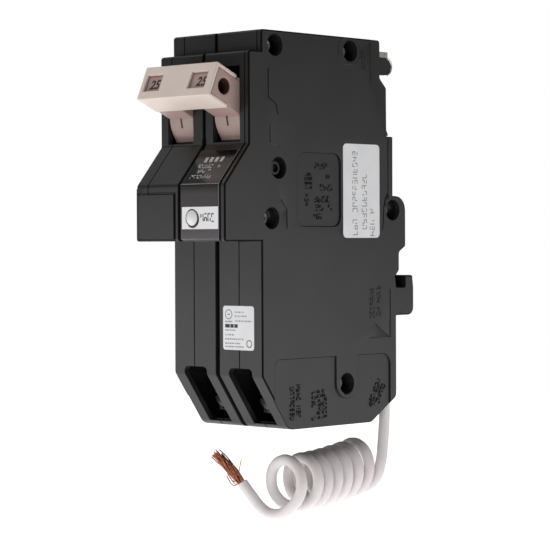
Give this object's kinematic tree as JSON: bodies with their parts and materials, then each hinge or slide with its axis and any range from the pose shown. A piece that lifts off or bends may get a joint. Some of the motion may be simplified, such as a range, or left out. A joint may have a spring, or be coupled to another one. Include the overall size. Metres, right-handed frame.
{
  "type": "two-pole ground-fault circuit breaker",
  "caption": "Plug-on two-pole ground-fault breaker with tied toggle handles, a test button, hook and jaws behind, and a coiled neutral pigtail.",
  "frame": {"origin": "middle of the floor of the rail hook's groove, at the back of the case, between the two poles", "axes": "+X across the poles to the right seen from the handles, -Y out of the panel on the handle side, +Z towards the line end"},
  "size_m": [0.0385, 0.0894, 0.1499],
  "materials": {
    "case_plastic": "satin moulded thermoset",
    "face_gloss": "glossy printed face plate",
    "label_paper": "white printed label",
    "handle_plastic": "satin moulded, sandstone",
    "button_plastic": "gloss moulded, white",
    "tinned_copper": "tin-plated copper",
    "rivet_metal": "tubular rivets, plated steel",
    "steel": "zinc-plated steel",
    "contact_silver": "silver alloy",
    "bare_copper": "bare copper",
    "fibre_board": "vulcanised fibre",
    "trip_plastic": "moulded, natural",
    "wire_insulation": "white PVC insulation",
    "toroid_tape": "taped ferrite toroid",
    "board_laminate": "solder-masked laminate",
    "component_epoxy": "moulded electronic components"
  },
  "bodies": {
    "case": {"left_outer_cover": "case_plastic", "left_inner_cover": "case_plastic", "right_inner_cover": "case_plastic", "right_outer_cover": "case_plastic", "blank_plate": "case_plastic", "face_plate": "face_gloss", "test_stripe": "label_paper", "front_label": "label_paper", "side_label": "label_paper", "case_rivets": "rivet_metal", "test_contact_leaf": "bare_copper", "test_resistor": "component_epoxy", "left_line_jaw": "tinned_copper", "right_line_jaw": "tinned_copper", "fixed_contacts": "contact_silver", "contact_arm_pins": "steel", "arc_plates": "steel", "arc_side_plates": "fibre_board", "left_bimetal": "steel", "right_bimetal": "steel", "magnet_yokes": "steel", "flexible_braids": "bare_copper", "left_load_lead": "bare_copper", "right_load_lead": "bare_copper", "neutral_lead": "wire_insulation", "left_terminal_plate": "tinned_copper", "right_terminal_plate": "tinned_copper", "sensing_toroid": "toroid_tape", "grounding_toroid": "toroid_tape", "circuit_board": "board_laminate", "board_components": "component_epoxy", "solenoid_bobbin": "trip_plastic", "solenoid_winding": "bare_copper", "pigtail_drop": "wire_insulation", "pigtail_coil": "wire_insulation", "pigtail_tail": "wire_insulation", "pigtail_strands": "bare_copper"},
    "handles": {"left_handle": "handle_plastic", "right_handle": "handle_plastic", "handle_tie_bar": "handle_plastic"},
    "left_arm": {"left_contact_arm": "bare_copper", "left_moving_contact": "contact_silver", "left_toggle_spring": "steel"},
    "right_arm": {"right_contact_arm": "bare_copper", "right_moving_contact": "contact_silver", "right_toggle_spring": "steel"},
    "left_latch": {"left_cradle": "steel"},
    "right_latch": {"right_cradle": "steel"},
    "trip": {"trip_bar": "trip_plastic", "left_armature": "steel", "right_armature": "steel"},
    "plunger": {"solenoid_plunger": "steel"},
    "button": {"test_button": "button_plastic"},
    "left_clamp": {"left_clamp_plate": "tinned_copper"},
    "right_clamp": {"right_clamp_plate": "tinned_copper"},
    "left_screw": {"left_terminal_screw": "steel"},
    "right_screw": {"right_terminal_screw": "steel"}
  },
  "joints": [
    {"name": "handle_throw", "type": "hinge", "parent": "case", "child": "handles", "pos_m": [0, -0.05835, 0.0532], "axis": [1, 0, 0], "range_deg": [0, 36]},
    {"name": "left_arm_swing", "type": "hinge", "parent": "case", "child": "left_arm", "pos_m": [-0.0097, -0.04415, 0.0477], "axis": [1, 0, 0], "range_deg": [-21, 0]},
    {"name": "right_arm_swing", "type": "hinge", "parent": "case", "child": "right_arm", "pos_m": [0.0097, -0.04415, 0.0477], "axis": [1, 0, 0], "range_deg": [-21, 0]},
    {"name": "left_latch_trip", "type": "hinge", "parent": "case", "child": "left_latch", "pos_m": [-0.0097, -0.04815, 0.0697], "axis": [1, 0, 0], "range_deg": [-12, 0]},
    {"name": "right_latch_trip", "type": "hinge", "parent": "case", "child": "right_latch", "pos_m": [0.0097, -0.04815, 0.0697], "axis": [1, 0, 0], "range_deg": [-12.5, 0]},
    {"name": "trip_bar_turn", "type": "hinge", "parent": "case", "child": "trip", "pos_m": [0, -0.03115, 0.0427], "axis": [1, 0, 0], "range_deg": [0, 6], "stiffness_Nm_per_rad": 0.01},
    {"name": "plunger_stroke", "type": "slide", "parent": "case", "child": "plunger", "axis": [0, 1, 0], "range_m": [0, 0.0025], "stiffness_N_per_m": 40},
    {"name": "test_button_press", "type": "slide", "parent": "case", "child": "button", "axis": [0, 1, 0], "range_m": [0, 0.0012], "stiffness_N_per_m": 200},
    {"name": "left_screw_turn", "type": "hinge", "parent": "left_clamp", "child": "left_screw", "pos_m": [-0.0097, -0.04815, -0.0333], "axis": [0, -1, 0], "range_deg": [0, 1440]},
    {"name": "right_screw_turn", "type": "hinge", "parent": "right_clamp", "child": "right_screw", "pos_m": [0.0097, -0.04815, -0.0333], "axis": [0, -1, 0], "range_deg": [0, 1440]},
    {"name": "left_clamp_slide", "type": "slide", "parent": "case", "child": "left_clamp", "axis": [0, -1, 0], "range_m": [0, 0.0032]},
    {"name": "right_clamp_slide", "type": "slide", "parent": "case", "child": "right_clamp", "axis": [0, -1, 0], "range_m": [0, 0.0032]}
  ],
  "couplings": [
    {"joint": "left_arm_swing", "follows": "handle_throw", "ratio": -0.55},
    {"joint": "right_arm_swing", "follows": "handle_throw", "ratio": -0.55},
    {"joint": "right_latch_trip", "follows": "left_latch_trip", "ratio": 1},
    {"joint": "left_screw_turn", "follows": "left_clamp_slide", "rad_per_m": 7854},
    {"joint": "right_screw_turn", "follows": "right_clamp_slide", "rad_per_m": 7854}
  ]
}
